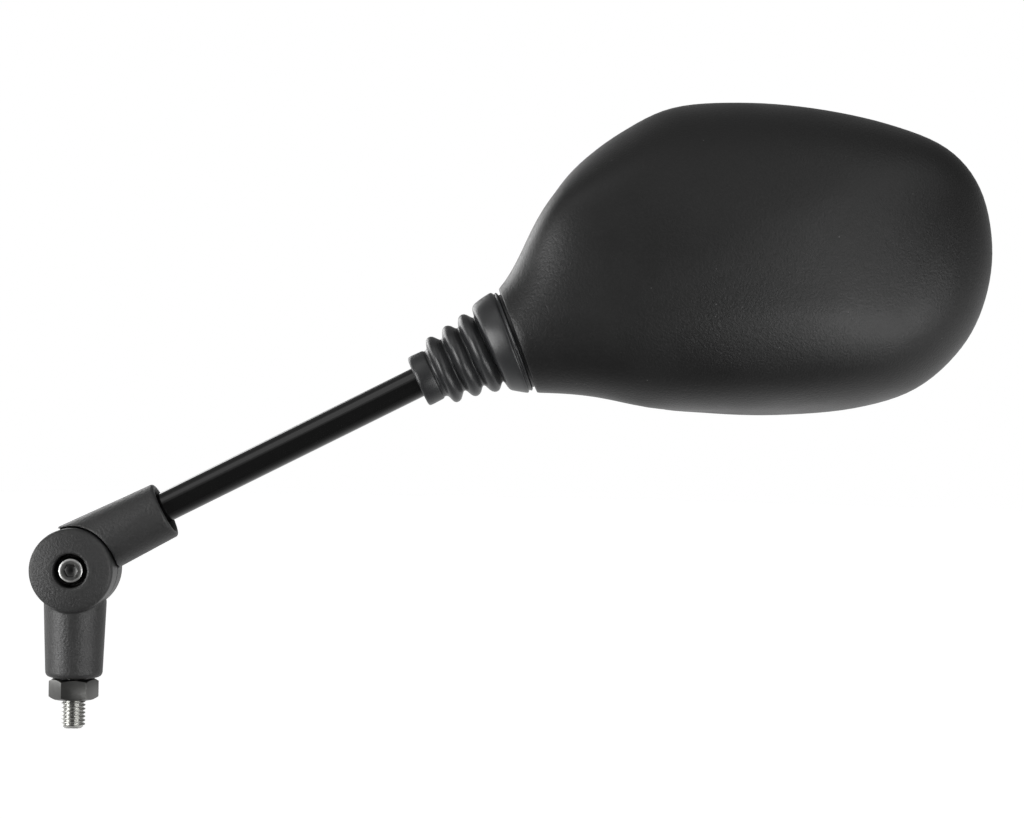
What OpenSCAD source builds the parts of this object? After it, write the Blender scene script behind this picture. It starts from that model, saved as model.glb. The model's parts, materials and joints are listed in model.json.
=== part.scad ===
// Left-hand motorcycle rear-view mirror: threaded stud, folding knuckle, round stem,
// rubber bellows and a ball-jointed head with a convex glass.
// +Z runs up the stud, +X towards the head and the glass faces +Y.
// The origin is on the stud's axis, at the clamp face of the lock nut.

/* [Mounting stud] */
// Thread diameter of the stud
stud_d = 8; // [6:0.5:10]
// Free thread below the lock nut
stud_free = 9.4; // [6:0.1:30]
// Bolt length from its tip to the underside of its moulded-in head
stud_len = 25; // [22:0.5:32]
// Chamfer at the stud's tip
stud_chamfer = 1; // [0.4:0.1:1.5]
// Width across the flats of the moulded-in bolt head
bolt_af = 13; // [10:0.5:14]
// Height of the moulded-in bolt head
bolt_head_h = 5.3; // [4:0.1:6]
// Width across the flats of the lock nut
nut_af = 14; // [12:0.5:16]
// Height of the lock nut
nut_h = 6.8; // [5:0.1:8]
// Gap between the lock nut and the knuckle
nut_gap = 0.4; // [0.2:0.1:2]

/* [Knuckle] */
// Height of the fold's pivot above the clamp face
pivot_h = 42.65; // [38:0.05:55]
// Diameter of the two knuckle discs
disc_d = 27.4; // [25:0.1:32]
// Thickness of each knuckle disc
disc_t = 11.2; // [10.8:0.1:14]
// Rounding at each disc's outer rim
disc_round = 1.4; // [0.5:0.1:2.5]
// Rise of each disc's face towards its middle
disc_crown = 0.3; // [0.1:0.1:0.6]
// Gap between a disc and the arm that curves round it
disc_gap = 0.5; // [0.3:0.1:1]
// Diameter of both arms at the pivot
arm_root_d = 21.3; // [19:0.1:21.5]
// Diameter of the lower arm at its foot
foot_d = 18.7; // [17:0.1:21]
// Rounding at the lower arm's foot
foot_round = 1.8; // [0.6:0.1:2.5]

/* [Pivot screw] */
// Thread diameter of the pivot screw
screw_d = 5; // [4:0.1:5.4]
// Length of the pivot screw below its head
screw_len = 16; // [15:0.1:17]
// Diameter of the screw's head
screw_head_d = 8.5; // [7.5:0.1:9]
// Height of the screw's head
screw_head_h = 5; // [4:0.1:5]
// Width across the flats of the key socket
key_af = 4; // [3:0.1:4.5]
// Depth of the key socket
key_depth = 2.5; // [1.5:0.1:3.5]
// Diameter of the counterbore round the head
counterbore_d = 11.1; // [10.4:0.1:13]
// Depth of the head below the disc's face
head_sink = 1; // [0:0.1:1.4]
// Outer diameter of the washer under the head
washer_d = 10; // [9.2:0.1:10.2]
// Thickness of the washer under the head
washer_t = 1; // [0.8:0.1:1.2]
// Outer diameter of the friction washer
friction_d = 20; // [14:0.5:22]
// Thickness of the friction washer
friction_t = 1; // [0.6:0.1:1.4]
// Width across the flats of the pivot nut
pivot_nut_af = 8; // [7:0.1:9]
// Height of the pivot nut
pivot_nut_h = 5; // [4:0.1:5]

/* [Stem] */
// Elevation of the stem above level
stem_tilt = 27.4; // [10:0.1:45]
// Length of the upper arm from the pivot to its open end
sleeve_len = 35; // [32:0.1:45]
// Offset of the upper arm's axis above the pivot
sleeve_rise = 4.3; // [3:0.1:5]
// Diameter of the upper arm at its open end
mouth_end_d = 19; // [17.5:0.1:21]
// Wall at the upper arm's open end
sleeve_wall = 1.7; // [1.2:0.1:2]
// Depth of the hollow in the upper arm's open end
hollow_depth = 9; // [5:0.1:12]
// Diameter of the round stem
rod_d = 10; // [8:0.1:10.5]
// Offset of the stem's axis above the pivot
rod_rise = 5.1; // [4.6:0.01:5.6]
// Where the stem starts, from the pivot
rod_start = 16; // [15:0.1:19]
// Distance from the pivot to the ball's centre
ball_reach = 177; // [150:0.5:220]

/* [Ball joint] */
// Diameter of the ball
ball_d = 18; // [17:0.1:19]
// Diameter of the stem's end inside the ball
spigot_d = 7; // [5:0.1:8]
// Depth of that end past the ball's centre
spigot_in = 4; // [2:0.1:5]
// Thickness of the nylon shell round the ball
liner_t = 0.9; // [0.6:0.1:1]
// Swing of the head either way about each axis, in degrees
swing = 10; // [8:0.5:12]
// Outer diameter of the socket halves
socket_d = 25.2; // [24.6:0.1:26]
// Distance of the clamp screws from the ball's centre, sideways
clamp_side = 14.6; // [14.2:0.1:15.5]
// Distance of the clamp screws from the ball's centre, along the stem
clamp_ahead = 4; // [3:0.1:5]
// Thickness of the socket halves' ears
ear_t = 3; // [2.5:0.1:3.5]
// Gap between the two socket halves
socket_gap = 0.6; // [0.3:0.1:1]
// Thread diameter of the clamp screws
clamp_d = 3; // [2.5:0.1:3.2]
// Diameter of the clamp screws' heads
clamp_head_d = 5.8; // [5.4:0.1:6.2]
// Height of the clamp screws' heads
clamp_head_h = 2.2; // [1.6:0.1:2.4]
// Depth of the clamp screws in their posts
clamp_bite = 5; // [3:0.1:6]
// Length of the clamp springs
spring_len = 4.6; // [3.5:0.1:5]
// Wire diameter of the clamp springs
spring_wire = 0.7; // [0.5:0.1:0.8]
// Turns of the clamp springs
spring_turns = 4; // [3:1:4]
// Diameter of the housing's posts
post_d = 7.6; // [6.4:0.1:8.4]

/* [Bellows] */
// Length of the bellows from its small collar's end to the neck's mouth
boot_len = 34.9; // [32:0.1:40]
// Gap between the soft bellows and the stem
boot_gap = 0.3; // [0.2:0.05:0.4]
// Wall of the bellows between its folds
boot_wall = 1.3; // [1:0.1:1.4]

/* [Head] */
// Width of the head's rim
head_w = 153.7; // [145:0.1:170]
// Height of the head's rim
head_h = 104.5; // [98:0.1:112]
// Distance of the rim's plane behind the stem's axis
rim_y = 19; // [18.5:0.1:21]
// Wall of the head's shell
shell_wall = 2.4; // [1.8:0.1:2.8]
// Width of the rim round the glass
lip_w = 2; // [1.5:0.1:2.4]
// Width of the ledge that carries the glass
ledge_w = 2.5; // [2:0.1:3]
// Thickness of that ledge
ledge_t = 1.6; // [1.2:0.1:2]
// Outer diameter of the neck's mouth
neck_d = 36.6; // [35.8:0.1:38]
// Wall at the neck's mouth
neck_wall = 1.9; // [1.5:0.1:2]
// Depth of the bellows' seat in the neck's mouth
neck_seat = 3; // [2.5:0.1:3.5]
// Elevation of the neck's axis above level
neck_tilt = 19.5; // [17:0.1:24]
// Distance of the neck's mouth before the ball's centre
neck_back = 13.7; // [13:0.1:15]
// Distance of the mouth's middle below the stem's axis
neck_drop = 2.4; // [2:0.1:2.6]
// Bulge of the crown, as the angle at which it leaves the neck
crown_angle = 12; // [8:0.5:15]
// Flare of the neck at its top and bottom, in degrees
neck_flare = 25.5; // [20:0.5:28]
// Fullness of the crown's upper shoulder
crown_fill = 22; // [0:1:30]
// Fullness of the lower shoulder, towards the neck
lower_fill = 2; // [0:0.5:12]
// Fullness of the lower outer corner
heel_fill = 1.5; // [0:0.1:2.5]
// Fullness of the flank and the underside
side_fill = 1.8; // [0:0.1:3]

/* [Glass] */
// Radius of the convex glass
glass_r = 1400; // [1000:50:2000]
// Thickness of the glass
glass_t = 2; // [1.8:0.1:2.2]
// Thickness of the foam sheet behind the glass
pad_t = 0.8; // [0.5:0.1:1]
// Distance of the foam sheet's edge inside the glass
pad_inset = 2.5; // [1:0.1:5]
// Thickness of the backing plate
plate_t = 1.5; // [1.2:0.1:1.6]
// Depth of the glass's middle below the rim
glass_sink = 0.3; // [0:0.1:0.8]
// Gap between the glass's edge and the rim
glass_gap = 0.3; // [0.2:0.1:0.6]

/* [Hidden] */
$fn = 64;

// Clearances shared by the pieces that fit together
fit = 0.02;
running = 0.06;
soft_gap = 0.3;
tape_gap = 0.15;

// Stud: inside the nut and the knuckle the thread is drawn at its pitch diameter
stud_core_d = stud_d * 0.9;
bolt_head_z = stud_len - stud_free;
knuckle_z = nut_h + nut_gap;

// Knuckle
disc_r = disc_d / 2;
relief_r = disc_r + disc_gap;
root_r = arm_root_d / 2;
head_y = -disc_t + head_sink;
head_under_y = head_y + screw_head_h;
counterbore_y = head_under_y + washer_t;
screw_tip_y = head_under_y + screw_len;
pivot_nut_y = screw_tip_y - 0.3 - pivot_nut_h;

// Stem directions and places in the X-Z plane
pivot = [0, 0, pivot_h];
dir = [cos(stem_tilt), 0, sin(stem_tilt)];
nor = [-sin(stem_tilt), 0, cos(stem_tilt)];
ball_r = ball_d / 2;
ball_c = pivot + ball_reach * dir + rod_rise * nor;
rod_r = rod_d / 2;
ball_flat = sqrt(ball_r * ball_r - rod_r * rod_r);
liner_r = ball_r + running + liner_t;
socket_r = liner_r + running;
// The head swings about two axes at once, so the openings clear the combined angle
full_swing = acos(cos(swing) * cos(swing));
liner_open = asin(rod_r / ball_r) + swing + 3;
socket_open = asin(rod_r / socket_r) + full_swing + 1.5;
ear_w = 8;
post_y = -socket_gap / 2 - ear_t;
screw_under_y = -post_y + spring_len;

// Arc from angle a to angle b about c in n steps
function arc(c, r, a, b, n) =
    [for (i = [0:n]) c + r * [cos(a + (b - a) * i / n), sin(a + (b - a) * i / n)]];

function unit(v) = v / norm(v);

module on_pivot() {
    translate(pivot) rotate([-90, 0, 0]) children();
}

module on_rod(at = 0) {
    translate(pivot + at * dir + rod_rise * nor) rotate([0, 90 - stem_tilt, 0]) children();
}

module on_sleeve(at = 0) {
    translate(pivot + at * dir + sleeve_rise * nor) rotate([0, 90 - stem_tilt, 0]) children();
}

// At the ball's centre, x along the stem, z across it and y as the whole mirror's
module on_ball() {
    translate(ball_c) rotate([0, -stem_tilt, 0]) children();
}

module hexagon(af, h) {
    cylinder(r = af / 2 / cos(30), h = h, $fn = 6);
}

// Hexagon with both ends chamfered at 30 degrees
module turned_hexagon(af, h) {
    corner = af / 2 / cos(30);
    flat = af / 2 - 0.25;
    cut = (corner - flat) * tan(30);
    intersection() {
        hexagon(af, h);
        rotate_extrude()
            polygon([[0, 0], [flat, 0], [corner + 0.01, cut], [corner + 0.01, h - cut],
                [flat, h], [0, h]]);
    }
}

module mounting_stud() {
    color("silver") {
        rotate_extrude()
            polygon([[0, -stud_free], [stud_d / 2 - stud_chamfer, -stud_free],
                [stud_d / 2, -stud_free + stud_chamfer], [stud_d / 2, 0], [stud_core_d / 2, 0],
                [stud_core_d / 2, bolt_head_z + 0.5], [0, bolt_head_z + 0.5]]);
        translate([0, 0, bolt_head_z]) turned_hexagon(bolt_af, bolt_head_h);
    }
}

module lock_nut() {
    bore = stud_core_d / 2 + fit;
    sink = stud_d / 2 + 0.2;
    color("silver") difference() {
        turned_hexagon(nut_af, nut_h);
        translate([0, 0, -1]) cylinder(r = bore, h = nut_h + 2);
        translate([0, 0, -0.01]) cylinder(r1 = sink, r2 = bore, h = sink - bore);
        translate([0, 0, nut_h - (sink - bore) + 0.01]) cylinder(r1 = bore, r2 = sink, h = sink - bore);
    }
}

// Disc with a rounded rim and a slightly crowned face, from its mating face at z = 0
module knuckle_disc() {
    rotate_extrude()
        polygon(concat([[0, 0], [disc_r, 0]],
            arc([disc_r - disc_round, disc_t - disc_crown - disc_round], disc_round, 0, 90, 6),
            [[disc_r * 0.55, disc_t - disc_crown * 0.3], [disc_r * 0.3, disc_t], [0, disc_t]]));
}

module lower_knuckle() {
    foot_r = foot_d / 2;
    taper = (root_r - foot_r) / (pivot_h - knuckle_z);
    color("dimgray") difference() {
        union() {
            rotate_extrude()
                polygon(concat([[0, knuckle_z]],
                    arc([foot_r - foot_round, knuckle_z + foot_round], foot_round, -90, 0, 6),
                    [[foot_r + taper * foot_round * 2, knuckle_z + foot_round * 2],
                    [root_r, pivot_h], [0, pivot_h]]));
            on_pivot() mirror([0, 0, 1]) knuckle_disc();
        }
        // Relief for the other arm's disc, and the friction washer's seat
        on_pivot() cylinder(r = relief_r, h = disc_t * 2);
        on_pivot() translate([0, 0, -friction_t / 2])
            cylinder(r = friction_d / 2 + fit, h = friction_t);
        // Pivot hole and the counterbore for the screw's head
        on_pivot() translate([0, 0, -disc_t - 1])
            cylinder(r = screw_d / 2 + running, h = disc_t + 2);
        on_pivot() translate([0, 0, -disc_t - 1])
            cylinder(r = counterbore_d / 2, h = counterbore_y + disc_t + 1);
        // The bolt is moulded in
        translate([0, 0, knuckle_z - 1])
            cylinder(r = stud_core_d / 2 + fit, h = bolt_head_z - knuckle_z + 2);
        translate([0, 0, bolt_head_z - fit]) turned_hexagon(bolt_af + 2 * fit, bolt_head_h + 2 * fit);
    }
}

module friction_washer() {
    color("black") on_pivot() translate([0, 0, -friction_t / 2]) difference() {
        cylinder(r = friction_d / 2, h = friction_t);
        translate([0, 0, -1]) cylinder(r = screw_d / 2 + 0.25, h = friction_t + 2);
    }
}

module upper_knuckle() {
    end_r = mouth_end_d / 2;
    start = 1;
    length = sleeve_len - start;
    lip = sleeve_wall / 2;
    bore_r = end_r - sleeve_wall;
    color("dimgray") difference() {
        union() {
            on_pivot() knuckle_disc();
            on_sleeve(start) rotate_extrude()
                polygon(concat([[0, 0], [root_r, 0]],
                    arc([end_r - lip, length - lip], lip, 0, 90, 6),
                    [[0, length]]));
        }
        // Relief for the other arm's disc, and the friction washer's seat
        on_pivot() translate([0, 0, -disc_t * 2]) cylinder(r = relief_r, h = disc_t * 2);
        on_pivot() translate([0, 0, -1])
            cylinder(r = friction_d / 2 + soft_gap, h = friction_t / 2 + 1);
        // Pivot hole and the nut's pocket
        on_pivot() translate([0, 0, -1])
            cylinder(r = screw_d / 2 + running, h = disc_t + 2);
        on_pivot() translate([0, 0, pivot_nut_y]) hexagon(pivot_nut_af + 0.1, disc_t);
        // Hollow end and the stem's socket
        on_sleeve(sleeve_len - hollow_depth)
            cylinder(r1 = bore_r - 0.6, r2 = bore_r, h = hollow_depth + 0.001);
        on_rod(rod_start - fit) cylinder(r = rod_r + fit, h = sleeve_len - rod_start + 1);
    }
}

module pivot_screw() {
    edge = 0.5;
    r = screw_head_d / 2;
    color("gray") on_pivot() difference() {
        union() {
            translate([0, 0, head_y]) rotate_extrude()
                polygon([[0, 0], [r - edge, 0], [r, edge], [r, screw_head_h], [0, screw_head_h]]);
            translate([0, 0, head_under_y - 0.1])
                cylinder(r = screw_d / 2, h = screw_len - 0.4);
            translate([0, 0, screw_tip_y - 0.5])
                cylinder(r1 = screw_d / 2, r2 = screw_d / 2 - 0.5, h = 0.5);
        }
        translate([0, 0, head_y - 1]) hexagon(key_af, key_depth + 1);
        translate([0, 0, head_y - 0.01])
            cylinder(r1 = key_af / 2 / cos(30) + 0.2, r2 = key_af / 2 - 0.1, h = 0.5);
    }
}

module pivot_washer() {
    color("gray") on_pivot() translate([0, 0, head_under_y]) difference() {
        cylinder(r = washer_d / 2, h = washer_t);
        translate([0, 0, -1]) cylinder(r = screw_d / 2 + 0.15, h = washer_t + 2);
    }
}

module pivot_nut() {
    collar = pivot_nut_h * 0.3;
    color("gray") on_pivot() translate([0, 0, pivot_nut_y]) difference() {
        union() {
            turned_hexagon(pivot_nut_af, pivot_nut_h - collar);
            translate([0, 0, pivot_nut_h - collar - 0.5])
                cylinder(r1 = pivot_nut_af / 2 - 0.2, r2 = pivot_nut_af / 2 - 0.7, h = collar + 0.5);
        }
        translate([0, 0, -1]) cylinder(r = screw_d / 2 + fit, h = pivot_nut_h + 2);
    }
}

module stem_rod() {
    color([0.06, 0.06, 0.06]) {
        on_rod(rod_start) cylinder(r = rod_r, h = ball_reach - ball_flat - rod_start);
        on_rod(ball_reach - ball_flat - 1) cylinder(r = spigot_d / 2, h = ball_flat + 1 + spigot_in);
    }
}

module stem_ball() {
    color("silver") on_rod(ball_reach) difference() {
        sphere(r = ball_r);
        translate([0, 0, -ball_flat - ball_r]) cylinder(r = ball_d, h = ball_r);
        translate([0, 0, -ball_d]) cylinder(r = spigot_d / 2 + fit, h = ball_d + spigot_in + fit);
    }
}

module ball_liner() {
    reach = ball_d;
    color("white") on_rod(ball_reach) difference() {
        sphere(r = liner_r);
        sphere(r = ball_r + running);
        translate([0, 0, -reach]) cylinder(r1 = reach * tan(liner_open), r2 = 0, h = reach);
        cylinder(r = spigot_d / 2, h = reach);
    }
}

// Half of the ball's socket, with an ear for each clamp screw
module socket_half(side) {
    front = 8;
    back = 11;
    face = socket_gap / 2;
    reach = ball_d;
    color([0.12, 0.12, 0.12]) on_ball() difference() {
        union() {
            intersection() {
                translate([-front, 0, 0]) rotate([0, 90, 0])
                    cylinder(r = socket_d / 2, h = front + back);
                translate([-front - 1, side > 0 ? face : -socket_d, -socket_d])
                    cube([front + back + 2, socket_d - face, socket_d * 2]);
                // The rear half is dressed flat under the glass
                translate([-front - 1, -socket_d, -socket_d])
                    cube([front + back + 2, socket_d + liner_r + 1, socket_d * 2]);
            }
            for (s = [-1, 1]) {
                translate([clamp_ahead, side > 0 ? face : -face - ear_t, s * clamp_side])
                    rotate([-90, 0, 0]) cylinder(r = ear_w / 2, h = ear_t);
                translate([clamp_ahead - ear_w / 2, side > 0 ? face : -face - ear_t,
                    s > 0 ? socket_r + 0.5 : -clamp_side])
                    cube([ear_w, ear_t, clamp_side - socket_r - 0.5]);
            }
        }
        sphere(r = socket_r);
        translate([-reach, 0, 0]) rotate([0, 90, 0])
            cylinder(r1 = reach * tan(socket_open), r2 = 0, h = reach);
        for (s = [-1, 1])
            translate([clamp_ahead, -ear_t - 2, s * clamp_side])
                rotate([-90, 0, 0]) cylinder(r = clamp_d / 2 + 0.1, h = 2 * ear_t + 4);
    }
}

module ball_seat() {
    socket_half(-1);
}

module ball_cap() {
    socket_half(1);
}

module clamp_screw(side) {
    r = clamp_head_d / 2;
    color("silver") on_ball() translate([clamp_ahead, 0, side * clamp_side])
        rotate([-90, 0, 0]) difference() {
            union() {
                translate([0, 0, post_y - clamp_bite]) cylinder(r = clamp_d / 2, h = clamp_bite + screw_under_y - post_y + 0.2);
                translate([0, 0, screw_under_y]) rotate_extrude()
                    polygon([[0, 0], [r, 0], [r, clamp_head_h * 0.5], [r * 0.85, clamp_head_h * 0.85],
                        [r * 0.5, clamp_head_h], [0, clamp_head_h]]);
            }
            // Cross recess
            for (a = [0, 90])
                translate([0, 0, screw_under_y + clamp_head_h]) rotate([0, 0, a])
                    cube([r * 1.1, 0.7, clamp_head_h], center = true);
        }
}

module clamp_screw_1() {
    clamp_screw(1);
}

module clamp_screw_2() {
    clamp_screw(-1);
}

// Compression spring of round wire, swept along its helix between the ear and the head
module clamp_spring(side) {
    sides = 6;
    steps = 10 * spring_turns;
    coil_r = clamp_d / 2 + 0.25 + spring_wire / 2;
    w = spring_wire / 2;
    rise = (spring_len - spring_wire) / steps;
    points = [for (i = [0:steps], k = [0:sides - 1])
        let (turn = 36 * i, around = 360 * k / sides, r = coil_r + w * cos(around))
        [r * cos(turn), r * sin(turn), w + rise * i + w * sin(around)]];
    quads = [for (i = [0:steps - 1], k = [0:sides - 1])
        let (a = i * sides + k, b = i * sides + (k + 1) % sides)
        [a, a + sides, b + sides, b]];
    ends = [[for (k = [0:sides - 1]) k], [for (k = [0:sides - 1]) (steps + 1) * sides - 1 - k]];
    color("silver") on_ball() translate([clamp_ahead, -post_y, side * clamp_side])
        rotate([-90, 0, 0]) polyhedron(points, concat(quads, ends), convexity = 6);
}

module clamp_spring_1() {
    clamp_spring(1);
}

module clamp_spring_2() {
    clamp_spring(-1);
}

// Bellows: rings of a given radius on a spine that bends from the stem to the neck's mouth.
// Each entry is [distance from the small collar's end, radius].
boot_outer = [[0, 8.1], [0.4, 8.6], [5.0, 8.5], [5.5, 8.1], [5.9, 8], [6.8, 8.6], [7.8, 10.5],
    [8.4, 11.3], [9, 11.5], [9.6, 11.3], [10.4, 10.2], [11.4, 8.9], [12.2, 8.6], [13, 9.1],
    [14.2, 11.2], [15, 12.4], [15.7, 12.6], [16.4, 12.3], [17.3, 11.1], [18.2, 10.1],
    [18.8, 9.9], [19.5, 10.5], [20.5, 12.8], [21.2, 13.8], [21.8, 14.05], [22.4, 13.8],
    [23.2, 12.7], [24, 11.7], [24.7, 11.6], [25.3, 12.4], [25.8, 13.6], [27, 15.1],
    [28.4, 16.2], [30, 16.9], [31.5, 17.05], [33.3, 17.05], [33.8, 16.7]];
boot_inner = [[24, 10], [20, 8.6], [12, 7.3], [6.4, 6.7]];
boot_sides = 36;
boot_start = ball_reach - neck_back - boot_len;

function clamp01(x) = min(1, max(0, x));

// Point on the bellows at distance x and radius r, in direction a about the spine
function boot_point(x, r, a) =
    let (
        bend = clamp01((x - 5.8) / (boot_len - 5.8)),
        sway = bend * bend,
        along = min(x, boot_len),
        centre = pivot + (boot_start + along) * dir + (rod_rise - neck_drop * sway) * nor
            + (x - along) * neck_axis,
        lean = stem_tilt + (neck_tilt - stem_tilt) * bend
    )
    centre + r * (cos(a) * [-sin(lean), 0, cos(lean)] + sin(a) * [0, 1, 0]);

// Closed ring-by-ring skin, where the last ring joins the first
function ring_faces(rings, sides) =
    [for (i = [0:rings - 1], k = [0:sides - 1])
        let (a = i * sides, b = ((i + 1) % rings) * sides, m = (k + 1) % sides)
        each [[a + k, b + k, b + m], [a + k, b + m, a + m]]];

module bellows_boot() {
    tail_r = neck_d / 2 - neck_wall - soft_gap;
    tail_x = boot_len + neck_seat - soft_gap;
    rings = concat(boot_outer,
        [[boot_len - 0.9, tail_r], [tail_x, tail_r], [tail_x, tail_r - boot_wall * 1.5],
        [boot_len - 4, tail_r - boot_wall * 1.5]],
        boot_inner,
        [[5, rod_r + boot_gap], [0, rod_r + boot_gap]]);
    points = [for (ring = rings, k = [0:boot_sides - 1])
        boot_point(ring[0], ring[1], 360 * k / boot_sides)];
    color([0.16, 0.16, 0.17]) polyhedron(points, ring_faces(len(rings), boot_sides), convexity = 10);
}

// Rim of the head in the X-Z plane, from the ball's centre, clockwise as seen from the front.
// The points are spaced for a closed smooth curve through them.
rim_points = [[1, 8.5], [-5, 19.8], [-6.7, 30], [-0.5, 40.5], [8, 51.5], [22, 62.5], [39, 71],
    [61.5, 73.2], [86, 71.8], [111, 67], [131, 59.2], [142.5, 46], [147, 27], [145, 8.5],
    [137.3, -7.8], [122.5, -21.5], [102, -28.5], [75.5, -31.3], [51.5, -30.3], [33, -28.2],
    [18.5, -19], [8.5, -5.5]];
rim_n = len(rim_points);
rim_w0 = 153.7;
rim_h0 = 104.5;
rim_steps = 3;
columns = rim_n * rim_steps;
glass_middle = [70 * head_w / rim_w0, 21 * head_h / rim_h0];

function rim_at(i) =
    let (p = rim_points[((i % rim_n) + rim_n) % rim_n])
    [p[0] * head_w / rim_w0, p[1] * head_h / rim_h0];

// Closed curve through the rim's points, where u runs from 0 to 1
function rim(u) =
    let (x = u * rim_n, i = floor(x), f = x - i,
        a = rim_at(i - 1), b = rim_at(i), c = rim_at(i + 1), d = rim_at(i + 2))
    0.5 * (2 * b + (c - a) * f + (2 * a - 5 * b + 4 * c - d) * f * f
        + (3 * b - a - 3 * c + d) * f * f * f);

function rim_normal(u) =
    let (t = rim(u + 0.002) - rim(u - 0.002))
    unit([-t[1], t[0]]);

// Rim moved inwards by w, in the X-Z plane from the ball's centre
function rim_inside(u, w) = rim(u) - w * rim_normal(u);

function in_head(p, y) = [ball_c[0] + p[0], y, ball_c[2] + p[1]];

// Height of a sphere about the glass's centre of curvature, at a place in the X-Z plane
glass_apex = rim_y - glass_sink;
stack_t = glass_t + pad_t + plate_t;
function dome_y(p, r) =
    let (q = p - glass_middle)
    glass_apex - glass_r + sqrt(r * r - q * q);

// Mouth of the neck
neck_axis = [cos(neck_tilt), 0, sin(neck_tilt)];
neck_up = [-sin(neck_tilt), 0, cos(neck_tilt)];
neck_c = ball_c - neck_back * dir - neck_drop * nor;
flow_tilt = neck_tilt + 6;
flow = [cos(flow_tilt), 0, sin(flow_tilt)];

// Angle round the mouth, from its back, that belongs to u on the rim
function mouth_angle(u) = 360 * u + 0.95 * sin(360 * u) * 180 / PI + 0.1 * sin(720 * u) * 180 / PI;

function mouth_radial(a) = cos(a) * [0, 1, 0] + sin(a) * neck_up;

// Point of the shell's outside: t runs from the neck's mouth to the rim
function skin(u, t) =
    let (
        a = mouth_angle(u),
        radial = mouth_radial(a),
        flare = neck_flare * sin(a) * sin(a) + (cos(a) > 0 ? 2 : crown_angle) * cos(a) * cos(a),
        start = neck_c + neck_d / 2 * radial,
        end = in_head(rim(u), rim_y - 0.5),
        n = rim_normal(u),
        leave = flow * cos(flare) + radial * sin(flare),
        arrive = [n[0] * sin(4), cos(4), n[1] * sin(4)],
        p1 = start + 0.42 * norm(end - start) * leave,
        p2 = end - 1.12 * (end[1] - start[1]) * arrive,
        c = max(0, -cos(a)),
        fill = sin(a) > 0 ? crown_fill : lower_fill,
        shoulder = [0, -fill * sqrt(c) * (1 - c), 0],
        heel = [0, -heel_fill * exp(-pow((u - 0.64) / 0.06, 2)), 0],
        belly = side_fill * pow(sin(a), 3) * neck_up,
        s = 1 - t,
        mid = 16 * s * s * t * t,
        late = 45 * s * s * pow(t, 4)
    )
    s * s * s * start + 3 * s * s * t * p1 + 3 * s * t * t * p2 + t * t * t * end
        + mid * shoulder + late * heel + (sin(a) > 0 ? mid : late) * belly;

// The same point moved inwards by w
function skin_inside(u, t, w) =
    let (
        along = skin(u, min(1, t + 0.01)) - skin(u, max(0, t - 0.01)),
        around = skin(u + 0.003, t) - skin(u - 0.003, t)
    )
    skin(u, t) - w * unit(cross(around, along));

// Underside of the ledge, below which the shell's inside stays next to the rim
function ledge_y(u) = dome_y(rim_inside(u, lip_w + ledge_w), glass_r - stack_t) - ledge_t;

function wall_inside(u, t) =
    let (p = skin_inside(u, t, shell_wall))
    t > 0.8 ? [p[0], min(p[1], ledge_y(u)), p[2]] : p;

outer_steps = [0, 0.04, 0.09, 0.16, 0.24, 0.32, 0.4, 0.48, 0.56, 0.64, 0.71, 0.78, 0.84, 0.89, 0.93, 0.965, 1];
inner_steps = [0.9, 0.84, 0.76, 0.66, 0.56, 0.46, 0.36, 0.27, 0.19, 0.12];

module shell() {
    seat_r = neck_d / 2 - neck_wall;
    us = [for (k = [0:columns - 1]) k / columns];
    // Lip, glass recess and ledge follow the rim; the mouth's rings follow the neck
    rim_rings = [[0.4, 0], [lip_w - 0.2, 0], [lip_w, 0.3]];
    points = concat(
        [for (t = outer_steps, u = us) skin(u, t)],
        [for (ring = rim_rings, u = us) in_head(rim_inside(u, ring[0]), rim_y - ring[1])],
        [for (w = [lip_w, lip_w + ledge_w], u = us)
            let (p = rim_inside(u, w)) in_head(p, dome_y(p, glass_r - stack_t) - tape_gap)],
        [for (u = us) in_head(rim_inside(u, lip_w + ledge_w), ledge_y(u))],
        [for (t = inner_steps, u = us) wall_inside(u, t)],
        [for (x = [neck_seat, 0], u = us) neck_c + x * neck_axis + seat_r * mouth_radial(mouth_angle(u))],
        [for (u = us) neck_c - 0.3 * neck_axis + (seat_r + 0.3) * mouth_radial(mouth_angle(u))],
        [for (u = us) neck_c - 0.3 * neck_axis + (neck_d / 2 - 0.35) * mouth_radial(mouth_angle(u))]
    );
    rings = len(points) / columns;
    polyhedron(points, ring_faces(rings, columns), convexity = 10);
}

// Solid bounded by the middle of the shell's wall, which trims what grows from the wall
module shell_core() {
    us = [for (k = [0:columns - 1]) k / columns];
    steps = [0.12, 0.27, 0.46, 0.66, 0.84, 0.93];
    points = concat([for (t = steps, u = us) skin_inside(u, t, shell_wall / 2)]);
    rings = len(steps);
    faces = concat(
        [for (i = [0:rings - 2], k = [0:columns - 1])
            let (a = i * columns, b = (i + 1) * columns, m = (k + 1) % columns)
            each [[a + k, b + k, b + m], [a + k, b + m, a + m]]],
        [[for (k = [0:columns - 1]) k]],
        [[for (k = [0:columns - 1]) rings * columns - 1 - k]]);
    polyhedron(points, faces, convexity = 10);
}

module housing() {
    color([0.17, 0.17, 0.18]) difference() {
        union() {
            shell();
            intersection() {
                shell_core();
                on_ball() difference() {
                    for (s = [-1, 1])
                        translate([clamp_ahead, post_y, s * clamp_side])
                            rotate([90, 0, 0]) cylinder(r = post_d / 2, h = 30);
                    // The posts are hollowed beside the socket
                    translate([-20, 0, 0]) rotate([0, 90, 0])
                        cylinder(r = socket_d / 2 + soft_gap, h = 60);
                }
            }
        }
        on_ball() for (s = [-1, 1])
            translate([clamp_ahead, post_y + 1, s * clamp_side])
                rotate([90, 0, 0]) cylinder(r = clamp_d / 2 + fit, h = clamp_bite + 1.5);
    }
}

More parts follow.
